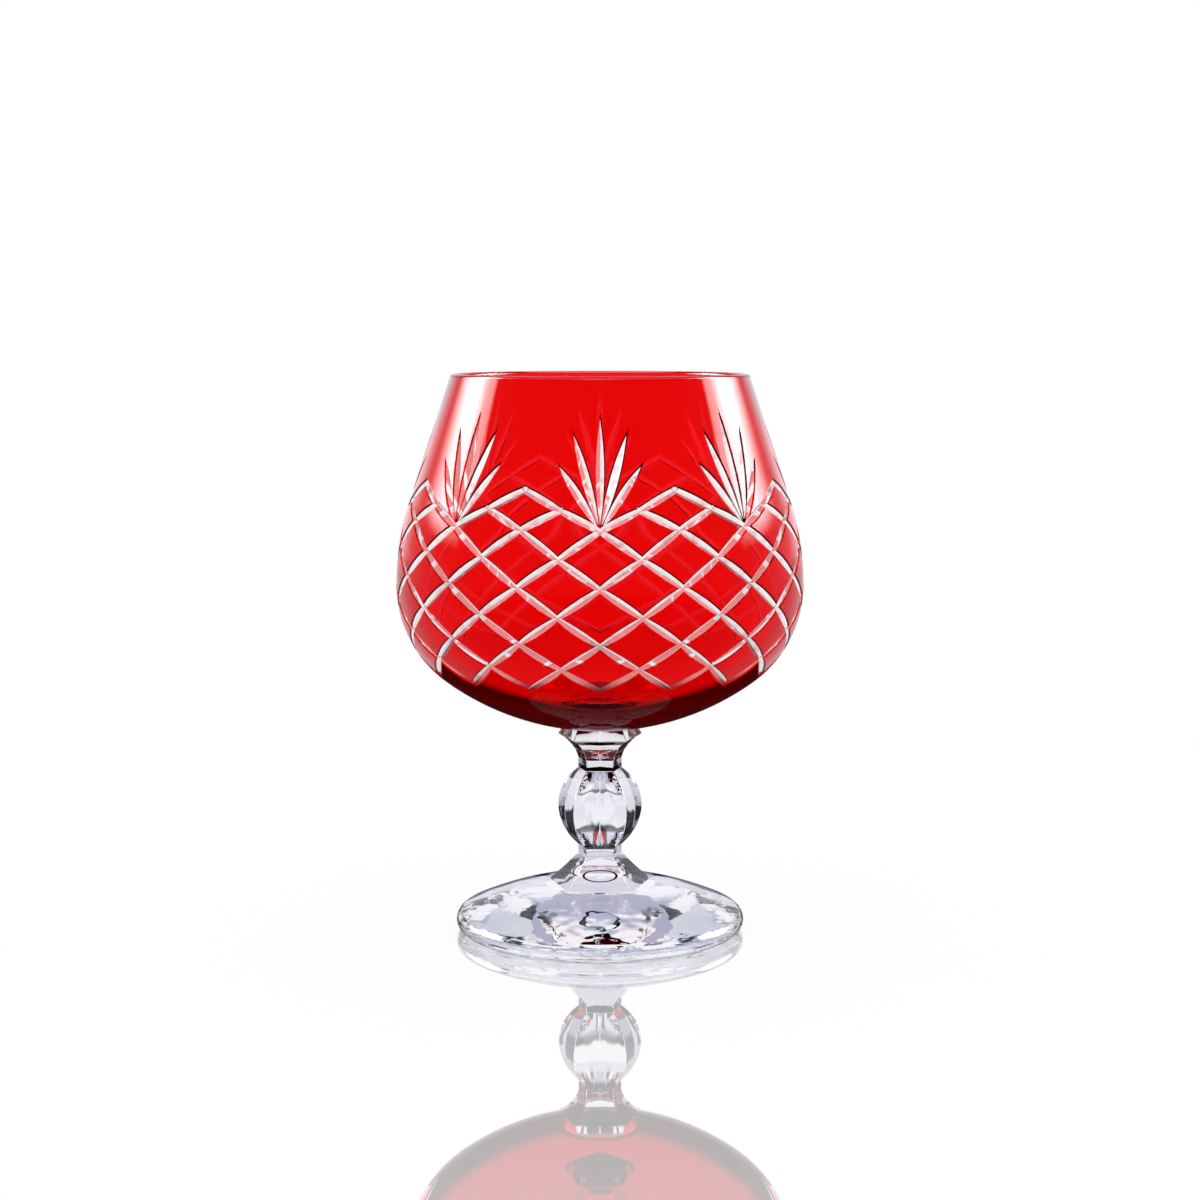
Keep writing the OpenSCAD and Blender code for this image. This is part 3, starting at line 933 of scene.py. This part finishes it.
# %% The studio as the eye and the crystal see it
world = bpy.data.worlds.new("white_studio")
scene.world = world
world.use_nodes = True
tree = world.node_tree
tree.nodes.clear()
path = add(tree, "ShaderNodeLightPath").outputs
place = add(tree, "ShaderNodeTexCoord").outputs["Generated"]
way = add(tree, "ShaderNodeSeparateXYZ", {"Vector": place}).outputs
over = add(tree, "ShaderNodeMapRange", {"Value": way["Z"], "From Min": 0.40, "From Max": 0.50},
           interpolation_type="SMOOTHSTEP").outputs["Result"]
below = add(tree, "ShaderNodeMapRange", {"Value": way["Z"], "From Min": 0.85, "From Max": 0.72},
            interpolation_type="SMOOTHSTEP").outputs["Result"]
band = add(tree, "ShaderNodeMath", {0: over, 1: below}, operation="MULTIPLY").outputs["Value"]
turn = add(tree, "ShaderNodeMath", {0: way["Y"], 1: way["X"]}, operation="ARCTAN2").outputs["Value"]
turn = add(tree, "ShaderNodeMath", {0: turn, 1: PANELS}, operation="MULTIPLY").outputs["Value"]
wave = add(tree, "ShaderNodeMath", {0: turn}, operation="SINE").outputs["Value"]
flag = add(tree, "ShaderNodeMapRange", {"Value": wave, "From Min": -0.8, "From Max": -0.9},
           interpolation_type="SMOOTHSTEP").outputs["Result"]
low = add(tree, "ShaderNodeMapRange", {"Value": way["Z"], "From Min": 0.55, "From Max": 0.4},
          interpolation_type="SMOOTHSTEP").outputs["Result"]
few = add(tree, "ShaderNodeMath", {0: path["Transmission Depth"], 1: STEM_ONLY},
          operation="LESS_THAN").outputs["Value"]
flag = add(tree, "ShaderNodeMath", {0: flag, 1: low}, operation="MULTIPLY").outputs["Value"]
flag = add(tree, "ShaderNodeMath", {0: flag, 1: few}, operation="MULTIPLY").outputs["Value"]
studio = add(tree, "ShaderNodeMix", {0: band, 6: linear("FFFFFF"), 7: linear("B2B6CD")},
             data_type="RGBA").outputs[MIXED]
studio = add(tree, "ShaderNodeMix", {0: flag, 6: studio, 7: linear("1E2030")},
             data_type="RGBA").outputs[MIXED]
shade = add(tree, "ShaderNodeMix", {0: path["Is Transmission Ray"], 6: linear("FFFFFF"), 7: studio},
            data_type="RGBA").outputs[MIXED]
print("nodes so far in the studio:", len(tree.nodes))

# %% The studio as a polished surface mirrors it
LEAST_ACROSS = 0.01
mirrored = add(tree, "ShaderNodeMath", {0: path["Is Reflection Ray"], 1: path["Is Singular Ray"]},
               operation="MULTIPLY").outputs["Value"]
ahead = add(tree, "ShaderNodeMapRange", {"Value": way["Y"], "From Min": 0.70, "From Max": 0.92},
            interpolation_type="SMOOTHSTEP").outputs["Result"]
dark = add(tree, "ShaderNodeMix", {0: ahead, 6: linear("383838"), 7: linear("F4EEF8")},
           data_type="RGBA").outputs[MIXED]
shade = add(tree, "ShaderNodeMix", {0: mirrored, 6: shade, 7: dark}, data_type="RGBA").outputs[MIXED]
# The softboxes mirror each other: beside is 0 straight out to either side and grows to the back.
across = add(tree, "ShaderNodeMath", {0: way["X"]}, operation="ABSOLUTE").outputs["Value"]
across = add(tree, "ShaderNodeMath", {0: across, 1: LEAST_ACROSS}, operation="MAXIMUM").outputs["Value"]
beside = add(tree, "ShaderNodeMath", {0: way["Y"], 1: across}, operation="DIVIDE").outputs["Value"]
panel = add(tree, "ShaderNodeMapRange", {
    "Value": beside, "From Min": -0.05, "From Max": 0.03, "To Max": 0.35},
    interpolation_type="SMOOTHSTEP").outputs["Result"]
core = add(tree, "ShaderNodeMapRange", {"Value": beside, "From Min": 0.05, "From Max": 0.3, "To Max": 0.65},
           interpolation_type="SMOOTHSTEP").outputs["Result"]
fade = add(tree, "ShaderNodeMapRange", {"Value": beside, "From Min": 1.1, "From Max": 0.35},
           interpolation_type="SMOOTHSTEP").outputs["Result"]
foot_end = add(tree, "ShaderNodeMapRange", {"Value": way["Z"], "From Min": 0.14, "From Max": 0.34},
               interpolation_type="SMOOTHSTEP").outputs["Result"]
head_end = add(tree, "ShaderNodeMapRange", {"Value": way["Z"], "From Min": 0.75, "From Max": 0.6},
               interpolation_type="SMOOTHSTEP").outputs["Result"]
softbox = add(tree, "ShaderNodeMath", {0: panel, 1: core}, operation="ADD").outputs["Value"]
for part in (fade, foot_end, head_end, mirrored):
    softbox = add(tree, "ShaderNodeMath", {0: softbox, 1: part}, operation="MULTIPLY").outputs["Value"]
print("nodes in the studio:", len(tree.nodes))

# %% Light it
# The flanks of a cut shade each other, so soft light on them is a little stronger than white.
cut_light = 1.3
softbox_light = 420.0
power = add(tree, "ShaderNodeMix", {"Factor": path["Is Diffuse Ray"], "A": 1.0, "B": cut_light})
power = add(tree, "ShaderNodeMix", {"Factor": softbox, "A": power.outputs["Result"], "B": softbox_light})
sky = add(tree, "ShaderNodeBackground", {"Color": shade, "Strength": power.outputs["Result"]})
add(tree, "ShaderNodeOutputWorld", {"Surface": sky.outputs["Background"]})
print("softbox light:", softbox_light)

# %% [markdown]
# ## The camera
# The picture looks slightly down on the glass from half a metre away, through a short telephoto
# lens. Glass needs many bounces: a ray through the bowl crosses eight surfaces.

# %% Set the camera up
camera_place = (0, -506.05 * MM, 137.25 * MM)
camera_dip = math.radians(6.92)
GLASS_BOUNCES = 32
rest()
bpy.ops.object.camera_add(location=camera_place, rotation=(math.pi / 2 - camera_dip, 0, 0))
camera = bpy.context.active_object
camera.data.sensor_width = 36
camera.data.lens = 67.35
scene.camera = camera
scene.cycles.max_bounces = GLASS_BOUNCES
scene.cycles.transmission_bounces = GLASS_BOUNCES
scene.cycles.glossy_bounces = GLASS_BOUNCES // 2
scene.cycles.transparent_max_bounces = GLASS_BOUNCES
scene.cycles.use_denoising = True
print("camera looks down by", round(math.degrees(camera_dip), 2), "degrees")
